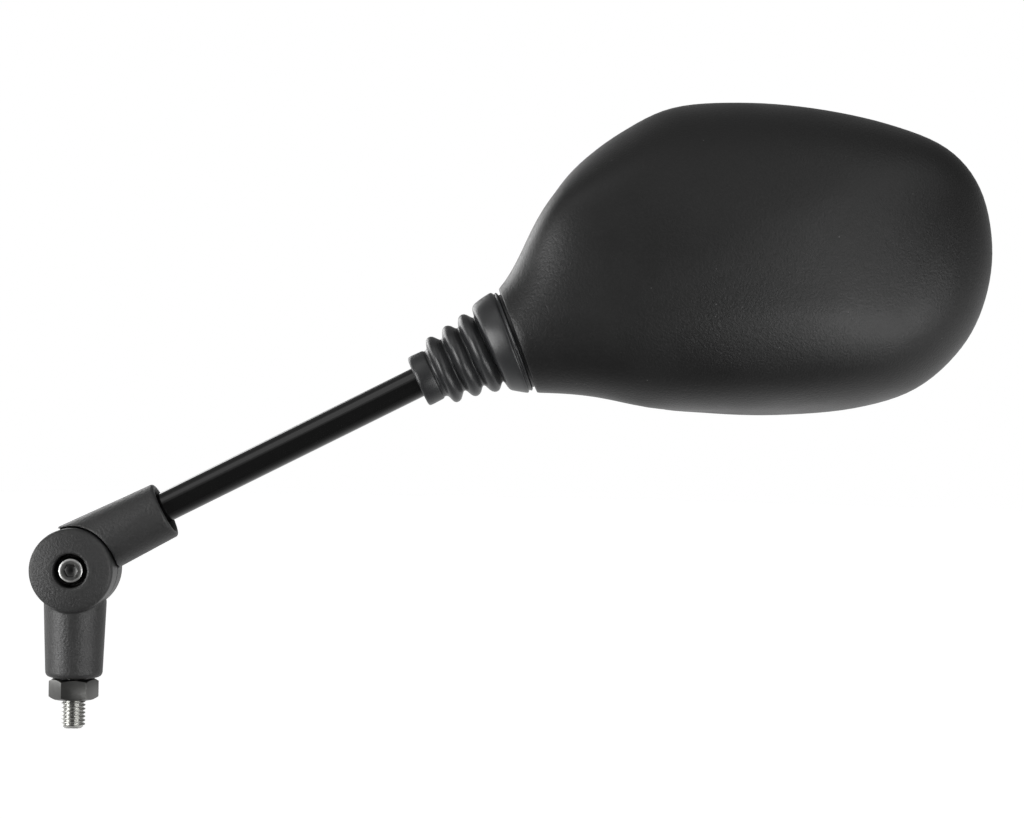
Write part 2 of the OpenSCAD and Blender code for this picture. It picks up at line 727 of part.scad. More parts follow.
// Sheet between two spheres of the glass, cut to the rim's outline less w
module sheet(w, r_out, r_in) {
    sphere_c = in_head(glass_middle, glass_apex - glass_r);
    outline = [for (k = [0:columns - 1])
        let (p = rim_inside(k / columns, w)) [ball_c[0] + p[0], ball_c[2] + p[1]]];
    intersection() {
        translate([0, 40, 0]) rotate([90, 0, 0]) linear_extrude(height = 60) polygon(outline);
        difference() {
            translate(sphere_c) sphere(r = r_out, $fn = 200);
            translate(sphere_c) sphere(r = r_in, $fn = 200);
        }
    }
}

module backing_plate() {
    color([0.1, 0.1, 0.1])
        sheet(lip_w + glass_gap, glass_r - glass_t - pad_t, glass_r - stack_t);
}

module glass_pad() {
    color([0.85, 0.85, 0.82])
        sheet(lip_w + glass_gap + pad_inset, glass_r - glass_t, glass_r - glass_t - pad_t);
}

module mirror_glass() {
    color([0.75, 0.8, 0.85])
        sheet(lip_w + glass_gap, glass_r, glass_r - glass_t);
}

mounting_stud();
lock_nut();
lower_knuckle();
friction_washer();
upper_knuckle();
pivot_screw();
pivot_washer();
pivot_nut();
stem_rod();
stem_ball();
bellows_boot();
ball_liner();
ball_seat();
ball_cap();
clamp_screw_1();
clamp_screw_2();
clamp_spring_1();
clamp_spring_2();
housing();
backing_plate();
glass_pad();
mirror_glass();
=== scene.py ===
# %% [markdown]
# # A left-hand motorcycle mirror
# The mirror was drawn and measured elsewhere as exact solids. This lesson loads those solids as
# a fixed frame and gives the mirror its looks: the moulded shell, the rubber bellows, the
# painted stem, the grained knuckle and the threaded stud. All lengths are in metres and every
# piece is made in the frame's own place, so nothing is moved or fitted afterwards.

# %% Load the frame
import bpy
import bmesh
import json
import math
from mathutils import Matrix, Vector


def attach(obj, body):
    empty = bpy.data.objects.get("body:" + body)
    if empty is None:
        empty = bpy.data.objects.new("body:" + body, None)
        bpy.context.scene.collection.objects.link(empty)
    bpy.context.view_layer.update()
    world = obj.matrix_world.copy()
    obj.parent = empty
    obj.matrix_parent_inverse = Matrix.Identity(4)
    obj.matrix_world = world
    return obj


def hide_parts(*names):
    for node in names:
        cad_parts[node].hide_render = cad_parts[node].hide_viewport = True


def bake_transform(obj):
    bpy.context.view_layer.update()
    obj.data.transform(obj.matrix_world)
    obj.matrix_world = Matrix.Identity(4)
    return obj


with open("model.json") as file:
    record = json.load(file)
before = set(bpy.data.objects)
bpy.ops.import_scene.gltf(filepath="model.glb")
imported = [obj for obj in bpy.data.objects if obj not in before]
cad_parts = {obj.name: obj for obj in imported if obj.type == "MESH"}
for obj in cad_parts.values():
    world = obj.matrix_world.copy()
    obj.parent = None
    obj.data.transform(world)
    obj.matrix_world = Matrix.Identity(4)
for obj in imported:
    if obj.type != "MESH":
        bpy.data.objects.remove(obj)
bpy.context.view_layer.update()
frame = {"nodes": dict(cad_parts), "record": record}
MM = 0.001

# %% [markdown]
# The camera first. The photograph looks along +Y from about 0.8 m, straight at the middle of
# the picture, and the whole mirror leans one degree to the right. One pixel of its 1024 is
# 1 / 3.05 mm at the stem, which gives the focal length for a 36 mm sensor.

# %% Camera
PHOTO_W, PX_PER_MM, DISTANCE = 1024, 3.05, 0.8
look_x, look_z, roll = 0.14197, 0.09754, math.radians(1.08)
camera = bpy.data.objects.new("camera", bpy.data.cameras.new("camera"))
bpy.context.collection.objects.link(camera)
camera.data.sensor_width = 36
camera.data.lens = 36 * DISTANCE / (PHOTO_W / PX_PER_MM * MM)
right = Vector((math.cos(roll), 0, math.sin(roll)))
up = Vector((-math.sin(roll), 0, math.cos(roll)))
turn = Matrix((right, up, right.cross(up))).transposed().to_4x4()
camera.matrix_world = Matrix.Translation((look_x, -DISTANCE, look_z)) @ turn
bpy.context.scene.camera = camera
print("lens", round(camera.data.lens, 2), "mm")

# %% [markdown]
# Two small tools serve every material. Colours are written as sRGB hex values, the way a
# painter's chart gives them, and one function turns them into the linear numbers that the
# renderer needs. The other adds one node with its settings and links. The rest is made of
# these two: a noise whose lumps have a size in millimetres, two colours mixed by a pattern, a
# gloss that follows a pattern, and a bump of a depth in millimetres.

# %% Colour and node tools
def linear(hex_colour):
    parts = [int(hex_colour[i:i + 2], 16) / 255 for i in (1, 3, 5)]
    return [c / 12.92 if c <= 0.04045 else ((c + 0.055) / 1.055) ** 2.4 for c in parts] + [1]


def add_node(tree, kind, settings=(), values=(), links=()):
    """Adds a node: settings are its properties, values its input numbers and links its inputs."""
    node = tree.nodes.new(kind)
    for name, value in dict(settings).items():
        setattr(node, name, value)
    for socket, value in dict(values).items():
        node.inputs[socket].default_value = value
    for socket, source in dict(links).items():
        tree.links.new(source, node.inputs[socket])
    return node


def new_material(name, **surface):
    """A material with a Principled surface, its tree, its shader and the place on the piece."""
    material = bpy.data.materials.new(name)
    material.use_nodes = True
    tree = material.node_tree
    shader = tree.nodes["Principled BSDF"]
    for socket, value in surface.items():
        shader.inputs[socket].default_value = value
    place = add_node(tree, "ShaderNodeTexCoord").outputs["Object"]
    return material, tree, shader, place


def per_mm(size_mm):
    """Texture scale that gives a pattern of this size on coordinates in metres."""
    return 1 / (size_mm * MM)


def noise(tree, place, size_mm, detail, roughness=0.5):
    """A cloudy pattern, about 0 to 1, whose lumps are size_mm wide."""
    node = add_node(tree, "ShaderNodeTexNoise", values={"Scale": per_mm(size_mm), "Detail": detail,
                    "Roughness": roughness}, links={"Vector": place})
    return node.outputs[0]


def two_tone(tree, pattern, dark, pale):
    """One colour where the pattern is 0 and the other where it is 1."""
    node = add_node(tree, "ShaderNodeMix", {"data_type": "RGBA"}, links={0: pattern})
    node.inputs[6].default_value = linear(dark)
    node.inputs[7].default_value = linear(pale)
    return node.outputs[2]


def uneven_gloss(tree, shader, pattern, smooth, rough, low=0.0, high=1.0):
    """Roughness that runs from smooth to rough as the pattern runs from low to high."""
    node = add_node(tree, "ShaderNodeMapRange", values={"From Min": low, "From Max": high,
                    "To Min": smooth, "To Max": rough}, links={"Value": pattern})
    tree.links.new(node.outputs[0], shader.inputs["Roughness"])


def bump(tree, shader, height, depth_mm):
    """Dents the surface by a height pattern whose full range is depth_mm."""
    node = add_node(tree, "ShaderNodeBump", values={"Strength": 1.0, "Distance": depth_mm * MM},
                    links={"Height": height})
    tree.links.new(node.outputs["Normal"], shader.inputs["Normal"])


# %% [markdown]
# ## The shell's plastic
# Mirror shells are injection-moulded in black ABS, in a mould that is spark-eroded to a fine
# grain. The eye gets a dark grey that is a little paler where light grazes it, with dents
# under a millimetre wide. A noise bump gives the grain, a slower noise makes the gloss uneven,
# and a few pale specks are the dust of handling. The same maker serves the other plastics.

# %% Shell plastic
PATCH_MM, DUST_MM, DUSTY_SHARE = 22, 4.2, 0.3


def grained_plastic(name, dark, pale, grain_mm, depth_mm, roughness, specks=0.0, ior=1.5):
    """A moulded plastic. Its grain's size and depth are in mm, specks is how pale its dust is."""
    material, tree, shader, place = new_material(name, IOR=ior)
    grain = noise(tree, place, grain_mm, 3, 0.6)
    colour = two_tone(tree, grain, dark, pale)
    if specks:
        dust = add_node(tree, "ShaderNodeTexVoronoi", {"feature": "F1"},
                        {"Scale": per_mm(DUST_MM), "Randomness": 1}, {"Vector": place})
        few = add_node(tree, "ShaderNodeMath", {"operation": "LESS_THAN"}, {1: DUSTY_SHARE},
                       {0: dust.outputs["Color"]})
        spot = add_node(tree, "ShaderNodeMapRange", values={"From Min": 0.03, "From Max": 0.06,
                        "To Min": specks, "To Max": 0}, links={"Value": dust.outputs["Distance"]})
        spot = add_node(tree, "ShaderNodeMath", {"operation": "MULTIPLY"},
                        links={0: spot.outputs[0], 1: few.outputs[0]})
        dusty = add_node(tree, "ShaderNodeMix", {"data_type": "RGBA"},
                         links={0: spot.outputs[0], 6: colour})
        dusty.inputs[7].default_value = linear("#a8a8a8")
        colour = dusty.outputs[2]
    tree.links.new(colour, shader.inputs["Base Color"])
    patch = noise(tree, place, PATCH_MM, 2)
    uneven_gloss(tree, shader, patch, roughness - 0.04, roughness + 0.04, 0.3, 0.7)
    bump(tree, shader, grain, depth_mm)
    return material


shell_plastic = grained_plastic("moulded_black_abs", "#0b0b0b", "#171717", 0.8, 0.13, 0.42,
                                specks=0.2, ior=1.43)
knuckle_nylon = grained_plastic("glass_filled_nylon", "#131313", "#2d2d2d", 0.8, 0.19, 0.46)
inner_plastic = grained_plastic("plain_black_nylon", "#1b1b1c", "#202021", 0.8, 0.02, 0.45)
print("plastics made")

# %% [markdown]
# ## The bellows' rubber
# EPDM rubber has a skin from its polished mould, so it is smoother than the shell, with a
# softer shine. A faint cloudy noise is the bloom that such rubber gets.

# %% Rubber
boot_rubber, tree, shader, place = new_material("moulded_epdm_rubber", IOR=1.52)
bloom = noise(tree, place, 6, 4)
tree.links.new(two_tone(tree, bloom, "#1c1c1d", "#292a2b"), shader.inputs["Base Color"])
uneven_gloss(tree, shader, bloom, 0.3, 0.42)
bump(tree, shader, noise(tree, place, 0.6, 2), 0.015)
print("rubber made")

# %% [markdown]
# ## The stem's paint
# The stem is a steel rod under gloss black powder coat. Powder flows out into a slightly
# orange-peeled film, so its reflections are crisp but wander a little along the rod.

# %% Gloss paint
rod_paint, tree, shader, place = new_material("black_powder_coat", IOR=1.5, Roughness=0.12)
peel = noise(tree, place, 2.4, 1)
tree.links.new(two_tone(tree, peel, "#070707", "#0c0c0c"), shader.inputs["Base Color"])
bump(tree, shader, peel, 0.012)
print("paint made")

# %% [markdown]
# ## The metals
# The stud is zinc-plated steel: bright, slightly cloudy, with a fine drawn finish. Its lock nut
# has the same plating, dulled by handling. The pivot's washer and nut are black-oxide steel, worn
# to a grey. A metal's look is nearly all reflection, so the cloudy noise drives its gloss too.

# %% Plated and blackened steel
def plated_steel(name, dark, bright, roughness, cloud_mm, dents_mm=0.006):
    """A plated or blackened steel with clouds of this size and fine dents of this depth."""
    material, tree, shader, place = new_material(name, Metallic=1.0)
    cloud = noise(tree, place, cloud_mm, 5, 0.6)
    tree.links.new(two_tone(tree, cloud, dark, bright), shader.inputs["Base Color"])
    uneven_gloss(tree, shader, cloud, roughness - 0.06, roughness + 0.08)
    bump(tree, shader, noise(tree, place, 0.3, 2), dents_mm)
    return material


zinc_steel = plated_steel("zinc_plated_steel", "#9c9c9a", "#c4c4c0", 0.24, 2.5)
dull_zinc = plated_steel("dull_zinc_steel", "#565655", "#6a6a68", 0.3, 2.5)
black_steel = plated_steel("worn_black_oxide_steel", "#5a5a59", "#7c7c7a", 0.3, 1.8, 0.002)
print("metals made")

# %% [markdown]
# ## The pivot screw's steel, with painted light
# The pivot screw is a blackened cap screw. Its colour holds painted light: a pale painted
# highlight ring on the edge of its flat top, mid grey on the flat top, and painted shade in the
# hex socket and on the shoulder outside the ring. The ring follows the distance from the
# pivot's axis, as a share of 5 mm.

# %% Cap screw with a painted highlight ring
PIVOT_Z, RING_REACH = 42.65, 5
screw_steel_painted_ring, tree, shader, place = new_material("black_steel_painted_highlight", Metallic=1.0)
spread = add_node(tree, "ShaderNodeSeparateXYZ", links={0: place})
flat = add_node(tree, "ShaderNodeCombineXYZ",
                links={0: spread.outputs["X"], 2: spread.outputs["Z"]})
reach = add_node(tree, "ShaderNodeVectorMath", {"operation": "DISTANCE"}, {1: (0, 0, PIVOT_Z * MM)},
                 {0: flat.outputs[0]})
ring = tree.nodes.new("ShaderNodeValToRGB")
tree.links.new(add_node(tree, "ShaderNodeMath", {"operation": "MULTIPLY"}, {1: per_mm(RING_REACH)},
                        {0: reach.outputs["Value"]}).outputs[0], ring.inputs[0])
# Colours by distance from the axis: painted shade in the socket, mid grey on the flat top, a white
# painted highlight ring at its edge, and painted shade on the shoulder.
ring_light_and_shade = [(0, "#3a3a3a"), (0.44, "#6e6e6d"), (0.62, "#8a8a88"), (0.67, "#e2e2e0"), (0.74, "#e2e2e0"),
         (0.79, "#3c3c3b"), (1, "#2a2a2a")]
ring.color_ramp.elements.remove(ring.color_ramp.elements[1])
ring.color_ramp.elements[0].color = linear(ring_light_and_shade[0][1])
for at, colour in ring_light_and_shade[1:]:
    ring.color_ramp.elements.new(at).color = linear(colour)
scuff = noise(tree, place, 1.2, 3)
# A scuff noise darkens the painted highlight ring and painted shade in patches.
worn = add_node(tree, "ShaderNodeMix", {"data_type": "RGBA", "blend_type": "MULTIPLY"}, {0: 0.35},
                {6: ring.outputs[0], 7: scuff})
tree.links.new(worn.outputs[2], shader.inputs["Base Color"])
uneven_gloss(tree, shader, scuff, 0.24, 0.4)
print("screw steel made")

# %% [markdown]
# ## Glass, liner and foam
# The glass is silvered, so all that the eye gets is its reflection, here with the faintest
# haze of handling. The ball runs in a shell of natural nylon, and a thin foam sheet sits between
# the glass and its backing plate.

# %% Mirror, nylon and foam
mirror_silver, tree, shader, place = new_material("convex_mirror_glass", Metallic=1.0)
haze = noise(tree, place, 30, 3)
tree.links.new(two_tone(tree, haze, "#dfe4e6", "#eaeef0"), shader.inputs["Base Color"])
uneven_gloss(tree, shader, haze, 0.015, 0.05, 0.45, 0.75)

nylon_natural = grained_plastic("natural_nylon", "#cfcabb", "#d9d5c8", 1.2, 0.02, 0.35)
foam_sheet = grained_plastic("closed_cell_foam", "#b9b8b0", "#d2d1ca", 0.7, 0.15, 0.8)
print("glass, nylon and foam made")

# %% [markdown]
# ## Places on the mirror
# The pieces share a few places: the fold's pivot, the stem's direction and the ball's centre.
# They are worked out here in millimetres, as the drawing gives them, and become metres only
# when a vertex is placed.

# %% Shared places and directions
PIVOT = Vector((0, 0, PIVOT_Z))
STEM_TILT, ROD_RISE, BALL_REACH = math.radians(27.4), 5.1, 177
STEM = Vector((math.cos(STEM_TILT), 0, math.sin(STEM_TILT)))
ACROSS = Vector((-math.sin(STEM_TILT), 0, math.cos(STEM_TILT)))
X, REAR, Z = Vector((1, 0, 0)), Vector((0, 1, 0)), Vector((0, 0, 1))
BALL = PIVOT + BALL_REACH * STEM + ROD_RISE * ACROSS
NECK_TILT, NECK_BACK, NECK_DROP = math.radians(21.5), 13.7, 2.4
NECK = Vector((math.cos(NECK_TILT), 0, math.sin(NECK_TILT)))
NECK_UP = Vector((-math.sin(NECK_TILT), 0, math.cos(NECK_TILT)))
MOUTH = BALL - NECK_BACK * STEM - NECK_DROP * ACROSS
print("ball centre", [round(c, 2) for c in BALL], "mm")

# %% [markdown]
# ## Growing a piece ring by ring
# Nearly every part of this mirror is drawn along an axis or a curved path. By hand that is a
# circle which is extruded, moved and scaled again and again, so one helper does just that:
# each ring is an extrusion of the last, put on its own points. Every vertex keeps the number
# of its column in a vertex attribute, which tells the helper where it belongs after an
# extrusion.

# %% Ring tools
def grow(name, rings, ends="open"):
    """Extrudes a circle from ring to ring. ends is open, capped or joined (last to first)."""
    bpy.ops.object.select_all(action="DESELECT")
    bpy.ops.mesh.primitive_circle_add(vertices=len(rings[0]), radius=MM, location=(0, 0, 0))
    piece = bpy.context.object
    piece.name = piece.data.name = name
    bpy.ops.object.mode_set(mode="EDIT")
    bpy.ops.mesh.select_mode(type="EDGE")
    bpy.ops.mesh.select_all(action="SELECT")
    bm = bmesh.from_edit_mesh(piece.data)
    column = bm.verts.layers.int.new("column")
    for number, vertex in enumerate(bm.verts):
        vertex[column] = number
        vertex.co = rings[0][number] * MM
    bmesh.update_edit_mesh(piece.data)
    if ends == "capped":
        bpy.ops.mesh.edge_face_add()
    for ring in rings[1:] + ([rings[0]] if ends == "joined" else []):
        bpy.ops.mesh.extrude_region()
        bm = bmesh.from_edit_mesh(piece.data)
        column = bm.verts.layers.int["column"]
        for vertex in bm.verts:
            if vertex.select:
                vertex.co = ring[vertex[column]] * MM
        bmesh.update_edit_mesh(piece.data)
    bpy.ops.mesh.select_all(action="SELECT")
    bpy.ops.mesh.remove_doubles(threshold=1e-7)
    bpy.ops.mesh.normals_make_consistent(inside=False)
    bpy.ops.object.mode_set(mode="OBJECT")
    return piece


def turned(name, profile, foot, axis, side, sides=96, ends="capped"):
    """A turned part: profile is a list of (distance from foot along axis, radius) in mm."""
    over = axis.cross(side)
    spokes = [math.cos(a) * side + math.sin(a) * over
              for a in (2 * math.pi * k / sides for k in range(sides))]
    return grow(name, [[foot + x * axis + r * spoke for spoke in spokes] for x, r in profile], ends)


def use_modifier(piece, kind, **settings):
    """Adds a modifier with its settings and applies it."""
    bpy.ops.object.select_all(action="DESELECT")
    piece.select_set(True)
    bpy.context.view_layer.objects.active = piece
    modifier = piece.modifiers.new(kind.lower(), kind)
    for name, value in settings.items():
        setattr(modifier, name, value)
    bpy.ops.object.modifier_apply(modifier=modifier.name)


def carve(piece, tool, operation="DIFFERENCE"):
    """Cuts, joins or trims a piece with a tool shape, which is used up."""
    use_modifier(piece, "BOOLEAN", object=tool, operation=operation, solver="EXACT")
    bpy.data.objects.remove(tool, do_unlink=True)


def soften(piece, angle=40):
    """Smooth shading up to this angle between faces."""
    bpy.ops.object.select_all(action="DESELECT")
    piece.select_set(True)
    bpy.context.view_layer.objects.active = piece
    bpy.ops.object.shade_smooth_by_angle(angle=math.radians(angle))


def finish_piece(piece, material, slot, body, *nodes):
    """Gives a piece its material, its body and the solids that it stands for."""
    piece.data.materials.clear()
    piece.data.materials.append(material)
    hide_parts(*nodes)
    if body:
        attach(piece, body)
    print(piece.name, len(piece.data.vertices), "vertices")


def arc(x, r, radius, first, last, steps):
    """Points of a rounding about (x, r), with angles from the axis's direction."""
    return [(x + radius * math.cos(math.radians(first + (last - first) * i / steps)),
             r + radius * math.sin(math.radians(first + (last - first) * i / steps)))
            for i in range(steps + 1)]


# %% [markdown]
# ## The shell
# The shell is one moulding: a round neck that flows into a wide rim. Its form is a sheet
# between two curves, the neck's mouth and the rim, so every column is a Bezier curve from one to
# the other. The rim is a closed smooth curve through 22 points, read off the photograph's
# outline and given from the ball's centre.

# %% The shell's rim and columns
RIM_POINTS = [(1, 8.5), (-4.7, 19.8), (-6, 29.8), (-0.6, 40.7), (8, 51.5), (22, 62.5), (39, 71),
              (61.5, 73.2), (86, 71.8), (111, 67), (131, 59.2), (142.5, 46), (147, 27), (145, 8.5),
              (137.3, -7.8), (122.5, -21.5), (102, -28.5), (75.5, -31.3), (51.5, -31),
              (33, -28.9), (18.5, -19.4), (8.5, -5.5)]
RIM_Y, NECK_D, SHELL_WALL, LIP_W, LEDGE_W, LEDGE_T = 19, 36.6, 2.4, 2, 2.5, 1.6
NECK_FLARE, CROWN_ANGLE, CROWN_FILL, SIDE_FILL = 25.5, 12, 22, 1.8
LOWER_FILL, HEEL_FILL, KEEL_FILL, FLANK_FILL = 2, 1.7, 1.2, 0.4
HEEL_AT, HEEL_WIDE, KEEL_AT, KEEL_WIDE, FLANK_AT, FLANK_WIDE = 0.64, 0.06, 0.76, 0.07, 0.13, 0.045
GLASS_R, GLASS_SINK, STACK_T = 1400, 0.3, 4.3
GLASS_MIDDLE = Vector((70, 21))
COLUMNS = 132


def rim(u):
    """Point of the rim, where u runs from 0 to 1 round it."""
    at = u * len(RIM_POINTS)
    i, f = math.floor(at), at - math.floor(at)
    a, b, c, d = (Vector(RIM_POINTS[(i + k) % len(RIM_POINTS)]) for k in (-1, 0, 1, 2))
    return 0.5 * (2 * b + (c - a) * f + (2 * a - 5 * b + 4 * c - d) * f ** 2
                  + (3 * b - a - 3 * c + d) * f ** 3)


def rim_normal(u):
    t = rim(u + 0.002) - rim(u - 0.002)
    return Vector((-t.y, t.x)).normalized()


def in_head(p, y):
    return Vector((BALL.x + p.x, y, BALL.z + p.y))


def inside_rim(u, w, y):
    """The rim moved inwards by w, at depth y."""
    return in_head(rim(u) - w * rim_normal(u), y)


def dome_y(p, radius):
    """Depth of a sphere about the glass's centre of curvature."""
    q = p - GLASS_MIDDLE
    return RIM_Y - GLASS_SINK - GLASS_R + math.sqrt(radius ** 2 - q.length_squared)


def mouth_angle(u):
    turn = 2 * math.pi * u
    return turn + 0.95 * math.sin(turn) + 0.1 * math.sin(2 * turn)


def mouth_radial(u):
    a = mouth_angle(u)
    return math.cos(a) * REAR + math.sin(a) * NECK_UP


def hump(u, middle, width):
    """1 at the middle of a stretch of the rim, falling softly to 0 on both sides."""
    return math.exp(-((u - middle) / width) ** 2)


def skin(u, t):
    """Point of the shell's outside: t runs from the neck's mouth to the rim."""
    a, radial, n = mouth_angle(u), mouth_radial(u), rim_normal(u)
    flare = math.radians(NECK_FLARE * math.sin(a) ** 2
                         + (2 if math.cos(a) > 0 else CROWN_ANGLE) * math.cos(a) ** 2)
    flow = Vector((math.cos(NECK_TILT + math.radians(4)), 0, math.sin(NECK_TILT + math.radians(4))))
    start, end = MOUTH + NECK_D / 2 * radial, in_head(rim(u), RIM_Y - 0.5)
    arrive = Vector((n.x * math.sin(math.radians(4)), math.cos(math.radians(4)),
                     n.y * math.sin(math.radians(4))))
    p1 = start + 0.42 * (end - start).length * (flow * math.cos(flare) + radial * math.sin(flare))
    p2 = end - 1.12 * (end.y - start.y) * arrive
    c, s = max(0, -math.cos(a)), 1 - t
    fill = CROWN_FILL if math.sin(a) > 0 else LOWER_FILL
    shoulder = Vector((0, -fill * math.sqrt(c) * (1 - c), 0))
    corner = Vector((0, -HEEL_FILL * hump(u, HEEL_AT, HEEL_WIDE)
                     - KEEL_FILL * hump(u, KEEL_AT, KEEL_WIDE), 0))
    belly = SIDE_FILL * math.sin(a) ** 3 * NECK_UP
    flank = FLANK_FILL * hump(u, FLANK_AT, FLANK_WIDE) * Vector((n.x, 0, n.y))
    middle, late = 16 * s ** 2 * t ** 2, 45 * s ** 2 * t ** 4
    return (s ** 3 * start + 3 * s ** 2 * t * p1 + 3 * s * t ** 2 * p2 + t ** 3 * end
            + middle * (shoulder + flank) + late * corner
            + (middle if math.sin(a) > 0 else late) * belly)


def skin_inside(u, t, w):
    """The same point moved inwards by w."""
    along = skin(u, min(1, t + 0.01)) - skin(u, max(0, t - 0.01))
    around = skin(u + 0.003, t) - skin(u - 0.003, t)
    return skin(u, t) - w * around.cross(along).normalized()


# %% [markdown]
# The rings now follow one another as a hand would draw them: up the outside, over the rim's
# rounded lip, down the recess that holds the glass, round the ledge, back down the inside and
# over the neck's rounded edge. The lip and the neck's edge are rounded with small arcs, because a
# moulded edge is never sharp and the light on it is what the eye reads.

# %% Shell
us = [k / COLUMNS for k in range(COLUMNS)]
outer_steps = [0.012, 0.03, 0.055, 0.085] + [0.12 + 0.03 * i for i in range(26)] + [
    0.895, 0.918, 0.938, 0.955, 0.97, 0.983, 1]
SEAT_R = NECK_D / 2 - 1.9


def neck_ring(x, r):
    return [MOUTH + x * NECK + r * mouth_radial(u) for u in us]


rings = [[skin(u, t) for u in us] for t in outer_steps]
rings += [[inside_rim(u, w, RIM_Y - y) for u in us]
          for w, y in ((0.05, 0.25), (0.2, 0.06), (0.45, 0), (LIP_W - 0.4, 0), (LIP_W - 0.15, 0.06),
                       (LIP_W, 0.3))]
for w, drop in ((LIP_W, 0.15), (LIP_W + LEDGE_W, 0.15), (LIP_W + LEDGE_W, LEDGE_T)):
    ring = []
    for u in us:
        p = rim(u) - w * rim_normal(u)
        ring.append(in_head(p, dome_y(p, GLASS_R - STACK_T) - drop))
    rings.append(ring)
for t in (0.9, 0.84, 0.76, 0.66, 0.56, 0.46, 0.36, 0.27, 0.19, 0.12):
    ring = [skin_inside(u, t, SHELL_WALL) for u in us]
    if t > 0.8:
        ring = [Vector((p.x, min(p.y, q.y), p.z)) for p, q in zip(ring, rings[-1])]
    rings.append(ring)
rings += [neck_ring(3, SEAT_R), neck_ring(0.3, SEAT_R), neck_ring(-0.1, SEAT_R + 0.12),
          neck_ring(-0.3, SEAT_R + 0.45), neck_ring(-0.3, NECK_D / 2 - 0.6),
          neck_ring(-0.2, NECK_D / 2 - 0.2), neck_ring(0.1, NECK_D / 2 - 0.01)]
shell = grow("mirror_shell", rings, "joined")
soften(shell, 50)

# %% [markdown]
# Two round posts stand inside the shell and hold the ball's clamp. They are plain turned bosses,
# each with its screw hole. The wall slopes where they meet it, so every point of a post's end
# is moved on its own until it lies inside the wall and none comes out through the shell.

# %% Clamp posts inside the shell
CLAMP_AHEAD, CLAMP_SIDE, POST_TOP = 4, 14.6, -3.3
for side in (1, -1):
    place = BALL + CLAMP_AHEAD * STEM + side * CLAMP_SIDE * ACROSS + POST_TOP * REAR
    wall = shell.ray_cast(place * MM, -REAR)[1]
    depth = (place * MM - wall).length / MM + SHELL_WALL / 2
    post = turned(f"post_{side}", [(0.3, 1.52), (0, 1.8), (0, 3.5), (0.3, 3.8), (depth, 3.8),
                                   (depth, 1.52), (6.5, 1.52)], place, -REAR, STEM, 32, "open")
    for vertex in post.data.vertices:
        if (vertex.co - place * MM).dot(-REAR) > (depth - 0.1) * MM:
            top = vertex.co + depth * MM * REAR
            wall = shell.ray_cast(top, -REAR)[1]
            vertex.co = wall - SHELL_WALL / 2 * MM * REAR
    bpy.ops.object.select_all(action="DESELECT")
    post.select_set(True)
    shell.select_set(True)
    bpy.context.view_layer.objects.active = shell
    bpy.ops.object.join()
soften(shell, 50)
finish_piece(shell, shell_plastic, "shell_plastic", "head", "housing")

# %% [markdown]
# ## The glass
# The glass is a convex sheet, cut to the rim's outline, with a ground and slightly rounded
# edge. Rings shrink from the edge to the middle, and each lies on the sphere of the glass, so the
# reflection stays smooth.

# %% Mirror glass
def glass_ring(shrink, w, radius):
    ring = []
    for u in us:
        p = GLASS_MIDDLE + (rim(u) - w * rim_normal(u) - GLASS_MIDDLE) * shrink
        ring.append(in_head(p, dome_y(p, radius)))
    return ring


EDGE_W = LIP_W + 0.3
shrinks = [1 - i / 14 for i in range(1, 14)]
rings = [glass_ring(s, EDGE_W + 0.35, GLASS_R) for s in reversed(shrinks)]
rings += [glass_ring(1, EDGE_W + 0.35, GLASS_R), glass_ring(1, EDGE_W + 0.1, GLASS_R - 0.1),
          glass_ring(1, EDGE_W, GLASS_R - 0.35), glass_ring(1, EDGE_W, GLASS_R - 1.65),
          glass_ring(1, EDGE_W + 0.1, GLASS_R - 1.9), glass_ring(1, EDGE_W + 0.35, GLASS_R - 2)]
rings += [glass_ring(s, EDGE_W + 0.35, GLASS_R - 2) for s in shrinks]
glass = grow("mirror_glass_sheet", rings, "capped")
soften(glass, 25)
finish_piece(glass, mirror_silver, "mirror_glass", "head", "mirror_glass")

# %% [markdown]
# ## The bellows
# The bellows is one rubber moulding: a small collar that grips the stem, three folds and a
# large collar that fills the shell's neck. Its rings sit on a path that bends from the stem's
# line to the neck's. The folds all lean alike, and the lean turns into the neck's along the large
# collar. It is made as two pieces that meet in the deep groove before the large collar. A
# profile lists distances from the small end and radii, in mm.

# %% Bellows
BOOT_LEN, GRIP_LEN, TURN_FROM, TURN_OVER = 34.9, 5.8, 26, 7
BOOT_START = BALL_REACH - NECK_BACK - BOOT_LEN
BOOT_SIDES, FOLD_TILT, SWAY = 96, math.radians(26), 3


def boot_spine(x):
    """Point of the bellows' path at distance x from its small end."""
    bend = min(1, max(0, (x - GRIP_LEN) / (BOOT_LEN - GRIP_LEN)))
    return PIVOT + (BOOT_START + x) * STEM + (ROD_RISE - NECK_DROP * bend ** SWAY) * ACROSS


def boot_ring(x, r):
    """Ring of the bellows at distance x from its small end."""
    along = min(x, BOOT_LEN)
    centre = boot_spine(along) + (x - along) * NECK
    late = min(1, max(0, (x - TURN_FROM) / TURN_OVER))
    lean = FOLD_TILT + (NECK_TILT - FOLD_TILT) * late ** 2 * (3 - 2 * late)
    over = Vector((-math.sin(lean), 0, math.cos(lean)))
    turns = (2 * math.pi * k / BOOT_SIDES for k in range(BOOT_SIDES))
    return [centre + r * (math.cos(a) * over + math.sin(a) * REAR) for a in turns]


